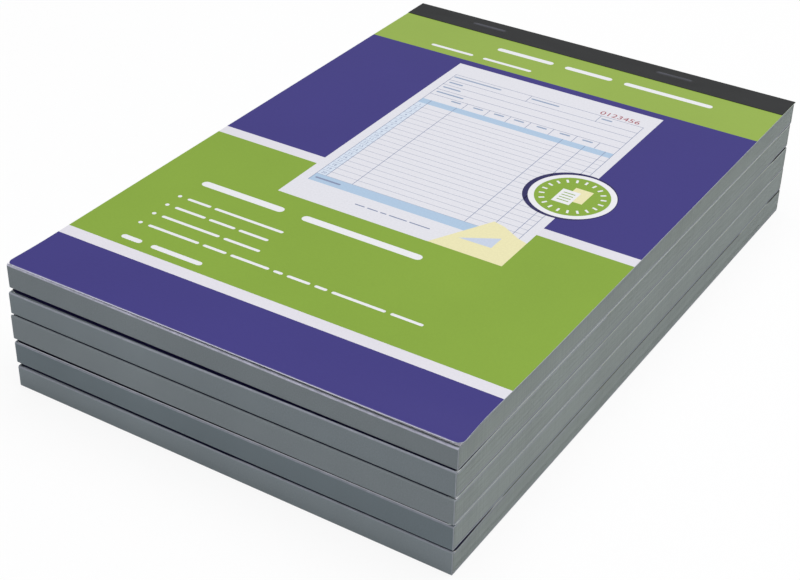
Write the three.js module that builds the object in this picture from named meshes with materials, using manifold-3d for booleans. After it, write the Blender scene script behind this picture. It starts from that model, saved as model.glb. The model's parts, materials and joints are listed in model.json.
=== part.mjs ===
// A stack of two-part carbonless order books, as they come from their wrapper.
//
// Each book is a pad of perforated sheets, stapled at the head through a front cover and a grey back card.
// The back card wraps round the foot of the pad, and its end is the writing guard: a flap that lies between
// the first set of sheets and the rest. A cloth tape covers the head and hides the staples.
// In the top book the front cover, the first white sheet, the first canary sheet and the wrapped card all open.
//
// Millimetres, +Z up. +Y points to the taped head of the books and +X to the reader's right.
// The origin is the middle of the underside of the bottom book.

import * as THREE from 'three';
import { mergeVertices } from 'three/addons/utils/BufferGeometryUtils.js';
import Module from 'manifold-3d';

const wasm = await Module();
wasm.setup();

// The stack
const book_width = 142;
const book_length = 215;
const book_pitch = 8.1;
// How far each book lies to the side (x) and towards the head (y), from the bottom one to the top one
const book_shifts = [[0, 0], [0, -0.1], [0, -0.2], [-0.2, 0.3], [-0.2, 0.9]];

// Card and paper
const card_thickness = 0.45;
const cover_thickness = 0.25;
const sheet_thickness = 0.07;
const flap_length = 80;
const cover_corner_radius = 2;
const cover_corner_steps = 6;
const crease_radius = 0.6;
const crease_steps = 5;

// Binding
const tape_thickness = 0.15;
const tape_front_leg = 10.5;
const tape_back_leg = 11;
const staple_width = 12.4;
const staple_wire_thickness = 0.45;
const staple_wire_width = 0.7;
const staple_clinch = 4.6;
const staple_from_head = 5.4;
// Each staple's distance from the left edge of the book
const staple_places = { left: 30.7, right: 101.4 };
const staple_crown_proud = 0.1;
const bump_skirt = 0.7;
const bump_taper = 0.45;

// Clearances
const leaf_air = 0.02;
const stack_air = 0.03;
const crease_air = 0.05;
const head_air = 0.05;
const foot_air = 0.3;
const hinge_air = 0.3;
const rebate_air = 0.3;
const sheet_foot_inset = 0.2;
const slot_air = 0.05;

// Corners nearer than this are one corner
const weld_distance = 1e-4;

// Heights inside one book, measured from its underside
const bump_over_cover = staple_crown_proud + leaf_air + tape_thickness;
const cover_top = book_pitch - stack_air - bump_over_cover;
const cover_under = cover_top - cover_thickness;
const white_top = cover_under - leaf_air;
const white_under = white_top - sheet_thickness;
const canary_top = white_under - leaf_air;
const canary_under = canary_top - sheet_thickness;
const flap_top = canary_under - leaf_air;
const flap_under = flap_top - card_thickness;
const block_under = card_thickness + leaf_air;
const card_rebate = tape_thickness + leaf_air;
const tape_leg_under = cover_top + leaf_air;
const tape_leg_top = tape_leg_under + tape_thickness;
const clinch_under = card_rebate;

// Distances from the foot of one book, along it
const head_end = book_length - tape_thickness - head_air;
const hinge_place = book_length - tape_front_leg;
const leaf_end = hinge_place - hinge_air;
const block_foot = card_thickness + foot_air;
const rebate_place = book_length - tape_back_leg - rebate_air;
const staple_line = book_length - staple_from_head;

const finishes = {
  grey_card: { color: 0x6f7679, roughness: 0.85, metalness: 0 },
  printed_cover: { color: 0x484187, roughness: 0.45, metalness: 0 },
  white_paper: { color: 0xe8e6ee, roughness: 0.8, metalness: 0 },
  canary_paper: { color: 0xefe3a0, roughness: 0.8, metalness: 0 },
  page_edges: { color: 0xc9cdca, roughness: 0.9, metalness: 0 },
  cloth_tape: { color: 0x3a3a3c, roughness: 0.75, metalness: 0 },
  staple_wire: { color: 0xb9bcc0, roughness: 0.35, metalness: 1 },
};

// A solid that runs across the book: its outline is drawn in (distance from foot, height)
function across_book(outline, width, middle = 0) {
  const geometry = new THREE.ExtrudeGeometry(outline, { depth: width, bevelEnabled: false, curveSegments: 1 });
  const turn = new THREE.Matrix4().makeBasis(
    new THREE.Vector3(0, 1, 0),
    new THREE.Vector3(0, 0, 1),
    new THREE.Vector3(1, 0, 0),
  );
  geometry.applyMatrix4(turn);
  geometry.translate(middle - width / 2, 0, 0);
  return geometry;
}

// A box between two corners, in (x, distance from foot, height)
function block_between(low, high) {
  const size = high.map((value, axis) => value - low[axis]);
  const geometry = new THREE.BoxGeometry(...size);
  geometry.translate(...low.map((value, axis) => value + size[axis] / 2));
  return geometry;
}

function outline_from(points) {
  return new THREE.Shape(points.map(([along, up]) => new THREE.Vector2(along, up)));
}

// Points of a quarter round about a centre, from one angle to another in quarter turns
function quarter_round(centre, radius, from_quarter, to_quarter, steps) {
  const points = [];
  for (let step = 0; step <= steps; step += 1) {
    const angle = (from_quarter + (to_quarter - from_quarter) * (step / steps)) * Math.PI / 2;
    points.push([centre[0] + radius * Math.cos(angle), centre[1] + radius * Math.sin(angle)]);
  }
  return points;
}

function solid_of(geometry) {
  const bare = geometry.clone();
  bare.deleteAttribute('normal');
  bare.deleteAttribute('uv');
  const merged = mergeVertices(bare, weld_distance);
  return new wasm.Manifold(new wasm.Mesh({
    numProp: 3,
    vertProperties: new Float32Array(merged.attributes.position.array),
    triVerts: new Uint32Array(merged.index.array),
  }));
}

function geometry_of(solid) {
  const mesh = solid.getMesh();
  const geometry = new THREE.BufferGeometry();
  geometry.setAttribute('position', new THREE.BufferAttribute(new Float32Array(mesh.vertProperties), 3));
  geometry.setIndex(new THREE.BufferAttribute(new Uint32Array(mesh.triVerts), 1));
  geometry.computeVertexNormals();
  return geometry;
}

function cut_with(geometry, cutters) {
  let solid = solid_of(geometry);
  for (const cutter of cutters) {
    solid = solid.subtract(solid_of(cutter));
  }
  return geometry_of(solid);
}

// The x of a staple, from its distance to the left edge
function staple_middle(from_left) {
  return from_left - book_width / 2;
}

// A flat wire staple: crown on the cover, two legs, and both ends clinched inwards under the back card.
// Grown all round, the same shape is the slot that the staple sits in.
function staple_geometry(from_left, grow = 0) {
  const half = staple_width / 2 + grow;
  const wire = staple_wire_thickness + 2 * grow;
  const clinch = staple_clinch + 2 * grow;
  const low = clinch_under - grow;
  const high = cover_top + staple_crown_proud + grow;
  const outline = outline_from([
    [-half + clinch, low],
    [-half, low],
    [-half, high],
    [half, high],
    [half, low],
    [half - clinch, low],
    [half - clinch, low + wire],
    [half - wire, low + wire],
    [half - wire, high - wire],
    [-half + wire, high - wire],
    [-half + wire, low + wire],
    [-half + clinch, low + wire],
  ]);
  const depth = staple_wire_width + 2 * grow;
  const geometry = new THREE.ExtrudeGeometry(outline, { depth, bevelEnabled: false });
  geometry.rotateX(Math.PI / 2);
  geometry.translate(staple_middle(from_left), staple_line + depth / 2, 0);
  return geometry;
}

function staple_slots() {
  return Object.values(staple_places).map((from_left) => staple_geometry(from_left, slot_air));
}

// The underside of the back card is rebated at the head, where the tape goes round it
function rebated_head_points() {
  return [
    [head_end, card_thickness],
    [head_end, card_rebate],
    [rebate_place, card_rebate],
    [rebate_place, 0],
  ];
}

// Back card, foot strip and flap in one folded sheet, as in the books that stay shut
function wraparound_card() {
  const inner_radius = crease_radius - card_thickness;
  const low_centre = [crease_radius, crease_radius];
  const high_centre = [crease_radius, flap_top - crease_radius];
  const outline = outline_from([
    ...rebated_head_points(),
    ...quarter_round(low_centre, crease_radius, 3, 2, crease_steps),
    ...quarter_round(high_centre, crease_radius, 2, 1, crease_steps),
    [flap_length, flap_top],
    [flap_length, flap_under],
    ...quarter_round(high_centre, inner_radius, 1, 2, crease_steps),
    ...quarter_round(low_centre, inner_radius, 2, 3, crease_steps),
  ]);
  return cut_with(across_book(outline, book_width), staple_slots());
}

// The same three parts as separate pieces, for the book whose card unfolds at its creases
function back_card() {
  const outline = outline_from([...rebated_head_points(), [0, 0], [0, card_thickness]]);
  return cut_with(across_book(outline, book_width), staple_slots());
}

function wrap_strip() {
  const half = book_width / 2;
  return block_between(
    [-half, 0, card_thickness + crease_air],
    [half, card_thickness, flap_under - crease_air],
  );
}

function wrap_flap() {
  const half = book_width / 2;
  return block_between([-half, 0, flap_under], [half, flap_length, flap_top]);
}

// All the sets under the flap, pressed down where the flap lies, with every bound stub at the head
function sheet_block() {
  const flap_step = flap_length + foot_air;
  const outline = outline_from([
    [block_foot, block_under],
    [head_end, block_under],
    [head_end, white_top],
    [hinge_place, white_top],
    [hinge_place, flap_top],
    [flap_step, flap_top],
    [flap_step, flap_under - leaf_air],
    [block_foot, flap_under - leaf_air],
  ]);
  return cut_with(across_book(outline, book_width), staple_slots());
}

// A leaf of the first set, torn off along the perforation at its head end
function leaf(under, top) {
  const half = book_width / 2;
  return block_between([-half, sheet_foot_inset, under], [half, leaf_end, top]);
}

// A cover plate with its two corners at the foot rounded, up to a given distance from the foot
function cover_plate(end) {
  const half = book_width / 2;
  const radius = cover_corner_radius;
  const points = [
    ...quarter_round([-half + radius, radius], radius, 2, 3, cover_corner_steps),
    ...quarter_round([half - radius, radius], radius, 3, 4, cover_corner_steps),
    [half, end],
    [-half, end],
  ];
  const geometry = new THREE.ExtrudeGeometry(outline_from(points), {
    depth: cover_thickness,
    bevelEnabled: false,
  });
  geometry.translate(0, 0, cover_under);
  return geometry;
}

function whole_cover() {
  return cut_with(cover_plate(head_end), staple_slots());
}

function cover_binding_strip() {
  const half = book_width / 2;
  const strip = block_between([-half, hinge_place, cover_under], [half, head_end, cover_top]);
  return cut_with(strip, staple_slots());
}

// The tape over a staple's crown: a low raised pad with sloping sides
function tape_bump(from_left) {
  const height = bump_over_cover - leaf_air;
  const length = staple_width + 2 * bump_skirt;
  const width = staple_wire_width + 2 * bump_skirt;
  const geometry = new THREE.BoxGeometry(length, width, height);
  const places = geometry.attributes.position;
  for (let index = 0; index < places.count; index += 1) {
    if (places.getZ(index) > 0) {
      places.setX(index, places.getX(index) - Math.sign(places.getX(index)) * bump_taper);
      places.setY(index, places.getY(index) - Math.sign(places.getY(index)) * bump_taper);
    }
  }
  geometry.translate(staple_middle(from_left), staple_line, tape_leg_under + height / 2);
  return geometry;
}

function crown_pocket(from_left) {
  const half_length = staple_width / 2 + slot_air;
  const half_width = staple_wire_width / 2 + slot_air;
  const middle = staple_middle(from_left);
  return block_between(
    [middle - half_length, staple_line - half_width, cover_top],
    [middle + half_length, staple_line + half_width, cover_top + staple_crown_proud + leaf_air],
  );
}

// A cloth tape round the head: one leg on the cover, the spine, and one leg under the back card
function binding_tape() {
  const outline = outline_from([
    [hinge_place, tape_leg_under],
    [book_length - tape_thickness, tape_leg_under],
    [book_length - tape_thickness, tape_thickness],
    [book_length - tape_back_leg, tape_thickness],
    [book_length - tape_back_leg, 0],
    [book_length, 0],
    [book_length, tape_leg_top],
    [hinge_place, tape_leg_top],
  ]);
  let tape = solid_of(across_book(outline, book_width));
  for (const from_left of Object.values(staple_places)) {
    tape = tape.add(solid_of(tape_bump(from_left)));
    tape = tape.subtract(solid_of(crown_pocket(from_left)));
  }
  return geometry_of(tape);
}

function piece(name, geometry, finish) {
  const mesh = new THREE.Mesh(geometry, new THREE.MeshStandardMaterial(finishes[finish]));
  mesh.name = name;
  return mesh;
}

// One book, built from its foot: the group's origin is the middle of the foot's lower edge
function order_book(number, opens) {
  const name = (words) => `book${number}_${words}`;
  const book = new THREE.Group();
  if (opens) {
    book.add(
      piece(name('back_card'), back_card(), 'grey_card'),
      piece(name('wrap_strip'), wrap_strip(), 'grey_card'),
      piece(name('wrap_flap'), wrap_flap(), 'grey_card'),
      piece(name('cover_binding_strip'), cover_binding_strip(), 'printed_cover'),
      piece(name('front_cover'), cover_plate(leaf_end), 'printed_cover'),
    );
  } else {
    book.add(
      piece(name('wraparound_card'), wraparound_card(), 'grey_card'),
      piece(name('front_cover'), whole_cover(), 'printed_cover'),
    );
  }
  book.add(
    piece(name('sheet_block'), sheet_block(), 'page_edges'),
    piece(name('canary_sheet'), leaf(canary_under, canary_top), 'canary_paper'),
    piece(name('white_sheet'), leaf(white_under, white_top), 'white_paper'),
    piece(name('binding_tape'), binding_tape(), 'cloth_tape'),
  );
  for (const [side, from_left] of Object.entries(staple_places)) {
    book.add(piece(name(`staple_${side}`), staple_geometry(from_left), 'staple_wire'));
  }
  return book;
}

const order_books = new THREE.Group();
book_shifts.forEach(([shift_x, shift_y], index) => {
  const book = order_book(index + 1, index === book_shifts.length - 1);
  book.position.set(shift_x, shift_y - book_length / 2, index * book_pitch);
  order_books.add(book);
});

export default order_books;
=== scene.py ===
# %% [markdown]
# # A stack of order books
# Five pads of perforated sheets lie on each other. Each is stapled at the head between a printed cover and
# a grey back card, and a cloth tape hides the staples. The card wraps round the foot of the pad and ends as
# a flap between the first set of sheets and the rest.
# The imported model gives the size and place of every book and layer. This script dresses it, one piece of
# paper at a time.

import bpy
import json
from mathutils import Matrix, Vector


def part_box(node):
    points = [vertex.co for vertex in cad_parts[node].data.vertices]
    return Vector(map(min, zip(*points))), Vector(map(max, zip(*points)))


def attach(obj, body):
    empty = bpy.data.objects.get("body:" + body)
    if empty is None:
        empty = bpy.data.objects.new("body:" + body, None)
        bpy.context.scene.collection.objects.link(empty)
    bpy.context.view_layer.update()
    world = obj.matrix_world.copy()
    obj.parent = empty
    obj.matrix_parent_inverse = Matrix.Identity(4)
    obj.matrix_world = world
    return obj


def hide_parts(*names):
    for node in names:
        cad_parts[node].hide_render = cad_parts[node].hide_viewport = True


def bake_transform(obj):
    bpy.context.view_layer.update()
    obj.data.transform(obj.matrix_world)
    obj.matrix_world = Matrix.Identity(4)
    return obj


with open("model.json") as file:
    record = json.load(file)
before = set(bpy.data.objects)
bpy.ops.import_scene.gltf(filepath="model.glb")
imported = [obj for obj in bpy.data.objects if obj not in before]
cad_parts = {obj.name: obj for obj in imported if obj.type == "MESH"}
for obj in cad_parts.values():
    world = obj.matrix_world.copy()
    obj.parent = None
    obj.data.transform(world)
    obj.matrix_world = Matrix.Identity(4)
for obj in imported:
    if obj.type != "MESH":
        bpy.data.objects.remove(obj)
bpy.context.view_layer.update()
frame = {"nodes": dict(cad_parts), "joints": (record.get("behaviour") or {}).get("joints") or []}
print("model loaded, nodes:", len(frame["nodes"]))

# %% Tools and units
import json
import math
import random

import bmesh
import bpy
from mathutils import Matrix, Vector

MM = 0.001
BOOKS = 5
TOP_BOOK = BOOKS

# %% [markdown]
# ## Sizes from the model
# All five books are alike, so their layer heights are read once, from the bottom book. A place inside a
# book is given in millimetres from its left edge (x), its foot (y) and its underside (z). That is how a
# bookbinder would measure it, and it keeps every number small and readable. Layers in the model lie a few
# hundredths of a millimetre apart, so that no two of them touch, and this script leaves the same air.

# %% Read one book's sizes
LEAF_AIR = 0.02
HEAD_AIR = 0.05


def box_mm(node, origin):
    low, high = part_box(node)
    return (Vector(low) - origin) / MM, (Vector(high) - origin) / MM


def book_origin(number):
    cover_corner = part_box(f"book{number}_front_cover")[0]
    tape_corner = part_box(f"book{number}_binding_tape")[0]
    return Vector((cover_corner[0], cover_corner[1], tape_corner[2]))


first = book_origin(1)
cover_low, cover_high = box_mm("book1_front_cover", first)
tape_high = box_mm("book1_binding_tape", first)[1]
white_low, white_high = box_mm("book1_white_sheet", first)
canary_low, canary_high = box_mm("book1_canary_sheet", first)
block_low = box_mm("book1_sheet_block", first)[0]
staple_low, staple_high = box_mm("book1_staple_left", first)
flap_low, flap_high = box_mm(f"book{TOP_BOOK}_wrap_flap", book_origin(TOP_BOOK))

book_width = cover_high.x
book_length = tape_high.y
cover_top = cover_high.z
cover_thickness = cover_high.z - cover_low.z
sheet_thickness = white_high.z - white_low.z
card_thickness = flap_high.z - flap_low.z
flap_length = flap_high.y
head_end = cover_high.y
tape_thickness = book_length - head_end - HEAD_AIR
print(f"one book: {book_width:.1f} x {book_length:.1f} mm, cover top at {cover_top:.2f} mm")

# %% Where the cover and the sheets turn
joints = {joint["name"]: joint for joint in frame["joints"]}
hinge_point = Vector(joints["cover_hinge"]["pos_m"])
hinge_place = (hinge_point - book_origin(TOP_BOOK)).y / MM
print(f"the cover turns {hinge_place:.1f} mm from the foot")

# %% [markdown]
# ## Books that have settled
# Books in a real stack don't lie dead flat. Paper gives a little, so the gap between two books is wide at
# one corner and shut at another. Each book swells by a fraction of a millimetre over most of its length,
# by another amount at the left and right end of its foot, and by less at the head, where the tape holds it.
# Everything in the book follows in proportion to its height. Board that is folded over stands up a little
# along the fold, so each closed book also has a bead there. Its cover stops a hair short of that fold.
# The top book is pressed down at its right corner, where it is picked up.

# %% A book with its own place and its own settling
TAPE_HOLDS_FROM = 204.0


def ease(value):
    """Nothing below 0, one above 1, and a smooth rise between."""
    share = min(1.0, max(0.0, value))
    return share * share * (3 - 2 * share)


class Book:
    def __init__(self, number, swell, foot, foot_reach, head, head_reach, bead, cover_stops_short,
                 card_colour, cut_colour, side_colour, wear_and_highlight, gap_shade=1.0, bare=0.0, paled=()):
        self.number = number
        self.origin = book_origin(number)
        self.swell = swell
        self.foot = foot
        self.foot_reach = foot_reach
        self.head = head
        self.head_reach = head_reach
        self.bead = bead
        self.cover_stops_short = cover_stops_short
        self.card_colour = card_colour
        self.cut_colour = cut_colour
        self.side_colour = side_colour
        self.wear_and_highlight = wear_and_highlight
        self.gap_shade = gap_shade
        self.bare = bare
        self.paled = paled

    @property
    def body(self):
        return f"book{self.number}"

    def name(self, words):
        return f"book{self.number}_{words}"

    def between(self, ends, x):
        """A value given at the left and the right end of the foot, at x."""
        left, right = ends
        return left + (right - left) * ease(x / book_width)

    def rise(self, x, y):
        """How far the top of this book stands above its drawn height."""
        at_foot = self.between(self.foot, x)
        near_foot = math.exp(-((max(y, 0.0) / self.foot_reach) ** 2))
        free = self.swell + (at_foot - self.swell) * near_foot
        held = ease(1 + (y - TAPE_HOLDS_FROM) / self.head_reach)
        return free + (self.head - free) * held

    def place(self, x, y, z):
        return self.origin + Vector((x, y, z + self.rise(x, y) * z / cover_top)) * MM


books = [
    Book(1, swell=0.15, foot=(-0.45, -0.55), foot_reach=14, head=-0.12, head_reach=2, bead=(0.0, 0.9),
         cover_stops_short=0.25, card_colour=(137, 146, 151), cut_colour=(122, 129, 135),
         side_colour=(66, 72, 70), wear_and_highlight=((176, 179, 192), 0.55), gap_shade=0.8, paled=((19, 25), (180, 205))),
    Book(2, swell=0.24, foot=(-0.3, 0.24), foot_reach=9, head=0.12, head_reach=2, bead=(0.0, 0.1),
         cover_stops_short=0.05, card_colour=(116, 127, 133), cut_colour=(202, 204, 213),
         side_colour=(194, 202, 200), wear_and_highlight=((176, 179, 192), 0.55)),
    Book(3, swell=0.24, foot=(0.18, 0.2), foot_reach=9, head=-0.08, head_reach=7, bead=(0.47, 0.47),
         cover_stops_short=0.55, card_colour=(131, 139, 143), cut_colour=(122, 129, 135),
         side_colour=(186, 194, 192), wear_and_highlight=((140, 147, 152), 0.55), bare=0.25),
    Book(4, swell=0.24, foot=(-0.4, -0.22), foot_reach=18, head=0.12, head_reach=2, bead=(0.05, 0.93),
         cover_stops_short=0.45, card_colour=(129, 138, 143), cut_colour=(122, 129, 135),
         side_colour=(198, 206, 204), wear_and_highlight=((176, 179, 192), 0.55)),
    Book(5, swell=0.0, foot=(0.4, -0.8), foot_reach=9, head=0.0, head_reach=2, bead=(0.0, 0.0),
         cover_stops_short=0.0, card_colour=(128, 136, 140), cut_colour=(238, 239, 254),
         side_colour=(190, 196, 200), wear_and_highlight=((232, 231, 252), 0.62), gap_shade=0.0),
]
top_book = books[-1]
print("books placed:", [tuple(round(v / MM, 1) for v in book.origin) for book in books])

# %% [markdown]
# ## Materials for paper
# Paper and card are matte, but never one flat colour. Fibres make fine specks, and the pulp makes slow
# clouds a few centimetres wide. Two layers of noise at those real sizes vary the colour, and the finer
# one also gives the surface its tooth. The noise reads a place that is stored in each point of the mesh,
# in millimetres, so the grain stays with the paper when a cover bends.

# %% Small helpers for shader nodes
REST_PLACE = "rest_mm"


def srgb(red, green, blue):
    """A colour as a paint program shows it, 0 to 255, turned into the light that it reflects."""
    def light(value):
        share = value / 255
        return share / 12.92 if share <= 0.04045 else ((share + 0.055) / 1.055) ** 2.4
    return (light(red), light(green), light(blue), 1.0)


class Finish:
    """A material in the making, with short calls for the nodes that this object's finishes share."""

    def __init__(self, name, roughness):
        self.material = bpy.data.materials.new(name)
        self.material.use_nodes = True
        self.tree = self.material.node_tree
        self.shader = self.tree.nodes["Principled BSDF"]
        self.shader.inputs["Roughness"].default_value = roughness
        self.rest = None

    def add(self, kind, **settings):
        node = self.tree.nodes.new(kind)
        for key, value in settings.items():
            setattr(node, key, value)
        return node

    def feed(self, socket, target):
        self.tree.links.new(socket, target)

    def place(self):
        if self.rest is None:
            self.rest = self.add("ShaderNodeAttribute", attribute_name=REST_PLACE)
        return self.rest.outputs["Vector"]

    def math(self, operation, first_value, second_value, third_value=None):
        node = self.add("ShaderNodeMath", operation=operation)
        values = (first_value, second_value, third_value)
        for index, value in enumerate(values):
            if value is None:
                continue
            if isinstance(value, (int, float)):
                node.inputs[index].default_value = value
            else:
                self.feed(value, node.inputs[index])
        return node.outputs["Value"]

    def noise(self, size, stretch=(1, 1, 1), detail=3.0):
        """Cloudy noise whose features are about this many millimetres wide, longer along a stretched axis."""
        scaled = self.add("ShaderNodeVectorMath", operation="DIVIDE")
        scaled.inputs[1].default_value = stretch
        self.feed(self.place(), scaled.inputs[0])
        cloud = self.add("ShaderNodeTexNoise")
        cloud.inputs["Scale"].default_value = 1 / size
        cloud.inputs["Detail"].default_value = detail
        self.feed(scaled.outputs["Vector"], cloud.inputs["Vector"])
        return cloud.outputs["Fac"]

    def around_one(self, fac, share):
        """Turns noise about 0.5 into a factor about 1 that swings by this share."""
        return self.math("MULTIPLY_ADD", fac, 2 * share, 1 - share)

    def colour(self, colour, factors):
        """The base colour, multiplied by every factor."""
        product = factors[0]
        for factor in factors[1:]:
            product = self.math("MULTIPLY", product, factor)
        scaled = self.add("ShaderNodeVectorMath", operation="SCALE")
        scaled.inputs[0].default_value = colour[:3]
        self.feed(product, scaled.inputs["Scale"])
        self.feed(scaled.outputs["Vector"], self.shader.inputs["Base Color"])
        return scaled.outputs["Vector"]

    def mix_in(self, share, tinted, other):
        """The base colour, mixed with another one by a share that varies over the surface."""
        mix = self.add("ShaderNodeMix", data_type="RGBA")
        self.feed(share, mix.inputs["Factor"])
        self.feed(tinted, mix.inputs["A"])
        mix.inputs["B"].default_value = other
        self.feed(mix.outputs["Result"], self.shader.inputs["Base Color"])

    def relief(self, height, depth_mm, strength=1.0):
        bump = self.add("ShaderNodeBump")
        bump.inputs["Strength"].default_value = strength
        bump.inputs["Distance"].default_value = depth_mm * MM
        self.feed(height, bump.inputs["Height"])
        self.feed(bump.outputs["Normal"], self.shader.inputs["Normal"])


# %% Uncoated paper and board
def uncoated(name, colour, speck=0.10, cloud=0.06, tooth=0.03):
    """A matte finish, and the socket that carries its colour."""
    finish = Finish(name, 0.9)
    specks = finish.noise(0.35, stretch=(1, 2.2, 1), detail=4.0)
    clouds = finish.noise(28.0, detail=2.0)
    tinted = finish.colour(colour, [finish.around_one(specks, speck), finish.around_one(clouds, cloud)])
    finish.relief(specks, tooth)
    finish.shader.inputs["Specular IOR Level"].default_value = 0.25
    return finish, tinted


# %% [markdown]
# Grey board is grey only on its face. Where it is folded the face cracks, and paler fibre shows along the
# fold in a broken line. The same pale colour also stands as a painted highlight on the round of the fold, so
# it is strongest on the top book and faintest on book 3, whose fold lies hidden under the book above. How far
# a point is from the fold is its drop below the flap's face plus its distance from the foot.

# %% Grey board
FOLD_WEAR_AND_HIGHLIGHT_FULL = 0.3
fold_height = flap_high.z


def fold_wear_and_highlight(finish, reach):
    """The share of bare fibre and painted highlight: full at the top fold, none beyond its reach."""
    split = finish.add("ShaderNodeSeparateXYZ")
    finish.feed(finish.place(), split.inputs["Vector"])
    drop = finish.math("ABSOLUTE", finish.math("SUBTRACT", fold_height, split.outputs["Z"]), 0)
    away = finish.math("ADD", drop, finish.math("ABSOLUTE", split.outputs["Y"], 0))
    near = finish.math("DIVIDE", finish.math("SUBTRACT", reach, away), reach - FOLD_WEAR_AND_HIGHLIGHT_FULL)
    broken = finish.math("MULTIPLY_ADD", finish.noise(3.0, detail=6.0), 1.2, 0.15)
    share = finish.math("MULTIPLY", near, broken)
    share.node.use_clamp = True
    return share


def grey_card(book):
    """Board in each book's own shade; the bottom book's is painted lighter, against the shade near the floor.
    The top book's fold is worn most and has the strongest painted highlight.
    """
    fold_colour, reach = book.wear_and_highlight
    finish, tinted = uncoated("grey_card", srgb(*book.card_colour), speck=0.22, cloud=0.12, tooth=0.05)
    # Bare fibre and painted highlight: the card turns paler along the top fold.
    finish.mix_in(fold_wear_and_highlight(finish, reach), tinted, srgb(*fold_colour))
    return finish.material


# Each book's board has its own shade; the bottom book's is painted lighter, to make up for the shade near the
# floor.
card_by_book = {book.number: grey_card(book) for book in books}


def plain(name, colour, **details):
    return uncoated(name, srgb(*colour), **details)[0].material


grey_card_cut = plain("grey_card_cut", (156, 161, 168), speck=0.25, tooth=0.06)
cover_inside = plain("cover_inside", (226, 225, 228), speck=0.06)
# On books 1, 3 and 4 the cover's cut colour is grey, as painted shade: the white board of the cut foot is
# made to look shaded like the card below it.
cover_cuts = {book.number: plain("cover_cut", book.cut_colour, speck=0.08) for book in books}
white_paper = plain("white_paper", (234, 233, 240), speck=0.04, cloud=0.02, tooth=0.012)
canary_paper = plain("canary_paper", (243, 232, 158), speck=0.05, cloud=0.03, tooth=0.012)
print("paper stocks ready")

# %% [markdown]
# ## Printed cover card
# The cover is coated card, printed in flat bands. Coated print has a soft gloss, a faint orange-peel, and
# it scuffs white where it rubs, at the foot of the top book. The scuffs come from the distance to the foot,
# broken up by noise, so they stay thin and uneven. The closed books have painted shade instead: their print
# darkens over the last millimetre or two before a free edge, where the gap under the book above is in shade.
# Where a book lies out past the one above it, its long edge has also rubbed bare.

# %% Coated and printed card
COAT_GLOSS = 0.3
SCUFF_WIDTH = 0.3
SCUFF_UNEVEN = 0.9
SCUFF_STRENGTH = 0.35
SCUFF_COLOUR = srgb(214, 211, 226)
GAP_SHADE_WIDTH = 1.6
GAP_SHADE_DARKENS_BY = 0.95
BARE_COLOUR = srgb(134, 141, 140)


def edge_distances(finish):
    """Millimetres from the nearest long edge of the cover, and from its foot."""
    split = finish.add("ShaderNodeSeparateXYZ")
    finish.feed(finish.place(), split.inputs["Vector"])
    left = split.outputs["X"]
    right = finish.math("SUBTRACT", book_width, left)
    return finish.math("MINIMUM", left, right), split.outputs["Y"]


def coated(name, colour, book):
    finish = Finish(name, 0.42)
    clouds = finish.noise(45.0, detail=2.0)
    grain = finish.noise(0.5, detail=3.0)
    factors = [finish.around_one(clouds, 0.07), finish.around_one(grain, 0.05)]
    from_side, from_foot = edge_distances(finish)
    # Painted shade: the print darkens towards every free edge, for the shade in the gap under the book above.
    if book.gap_shade > 0:
        outside_gap_shade = finish.math("DIVIDE", finish.math("MINIMUM", from_side, from_foot), GAP_SHADE_WIDTH)
        outside_gap_shade.node.use_clamp = True
        darkens_by = GAP_SHADE_DARKENS_BY * book.gap_shade
        outside_gap_shade_squared = finish.math("MULTIPLY", outside_gap_shade, outside_gap_shade)
        factors.append(finish.math("MULTIPLY_ADD", outside_gap_shade_squared, darkens_by, 1 - darkens_by))
    tinted = finish.colour(colour, factors)
    if book.bare > 0:
        finish.mix_in(finish.math("LESS_THAN", from_side, book.bare), tinted, BARE_COLOUR)
    if book is top_book:
        inwards = finish.math("DIVIDE", from_foot, SCUFF_WIDTH)
        patches = finish.noise(2.2, detail=5.0)
        uneven = finish.math("MULTIPLY_ADD", patches, SCUFF_UNEVEN, 1 - SCUFF_UNEVEN / 2)
        paled = finish.math("SUBTRACT", uneven, inwards)
        paled.node.use_clamp = True
        finish.mix_in(finish.math("MULTIPLY", paled, SCUFF_STRENGTH), tinted, SCUFF_COLOUR)
    finish.relief(finish.noise(0.9, detail=2.0), 0.012)
    finish.shader.inputs["Specular IOR Level"].default_value = COAT_GLOSS
    return finish.material


BAND_COLOURS = {
    "print_header": (141, 167, 72),
    "print_blue": (56, 50, 121),
    "print_white": (215, 213, 221),
    "print_green": (127, 158, 54),
}


def band_materials(book):
    return [coated(name, srgb(*colour), book) for name, colour in BAND_COLOURS.items()] + [cover_inside]


print("cover bands:", ", ".join(BAND_COLOURS))

# %% [markdown]
# ## Inks
# Fine print is made as thin raised ink, because that is what it is, and it stays sharp at any distance.
# Each ink is one colour with a little uneven coverage.

# %% Inks
def ink(name, colour, roughness=0.5):
    finish = Finish(name, roughness)
    cover = finish.noise(0.6, detail=4.0)
    finish.colour(colour, [finish.around_one(cover, 0.10)])
    finish.shader.inputs["Specular IOR Level"].default_value = 0.3
    return finish.material


INKS = {
    "form white": ink("ink_form_white", srgb(214, 214, 221)),
    "print white": ink("ink_print_white", srgb(222, 222, 226)),
    "rule": ink("ink_rule", srgb(126, 136, 164)),
    "fine rule": ink("ink_fine_rule", srgb(160, 166, 184)),
    "label": ink("ink_label", srgb(142, 157, 182)),
    "band": ink("ink_band", srgb(165, 188, 212)),
    "tint": ink("ink_tint", srgb(202, 212, 226)),
    "canary": ink("ink_canary", srgb(222, 216, 172)),
    "curl blue": ink("ink_curl_blue", srgb(188, 198, 216)),
    "number red": ink("ink_number_red", srgb(158, 76, 86)),
    "badge blue": ink("ink_badge_blue", srgb(40, 37, 86)),
    "badge green": ink("ink_badge_green", srgb(128, 160, 56)),
    "perforation": ink("ink_perforation", srgb(150, 150, 158)),
}
print("inks:", ", ".join(INKS))

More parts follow.
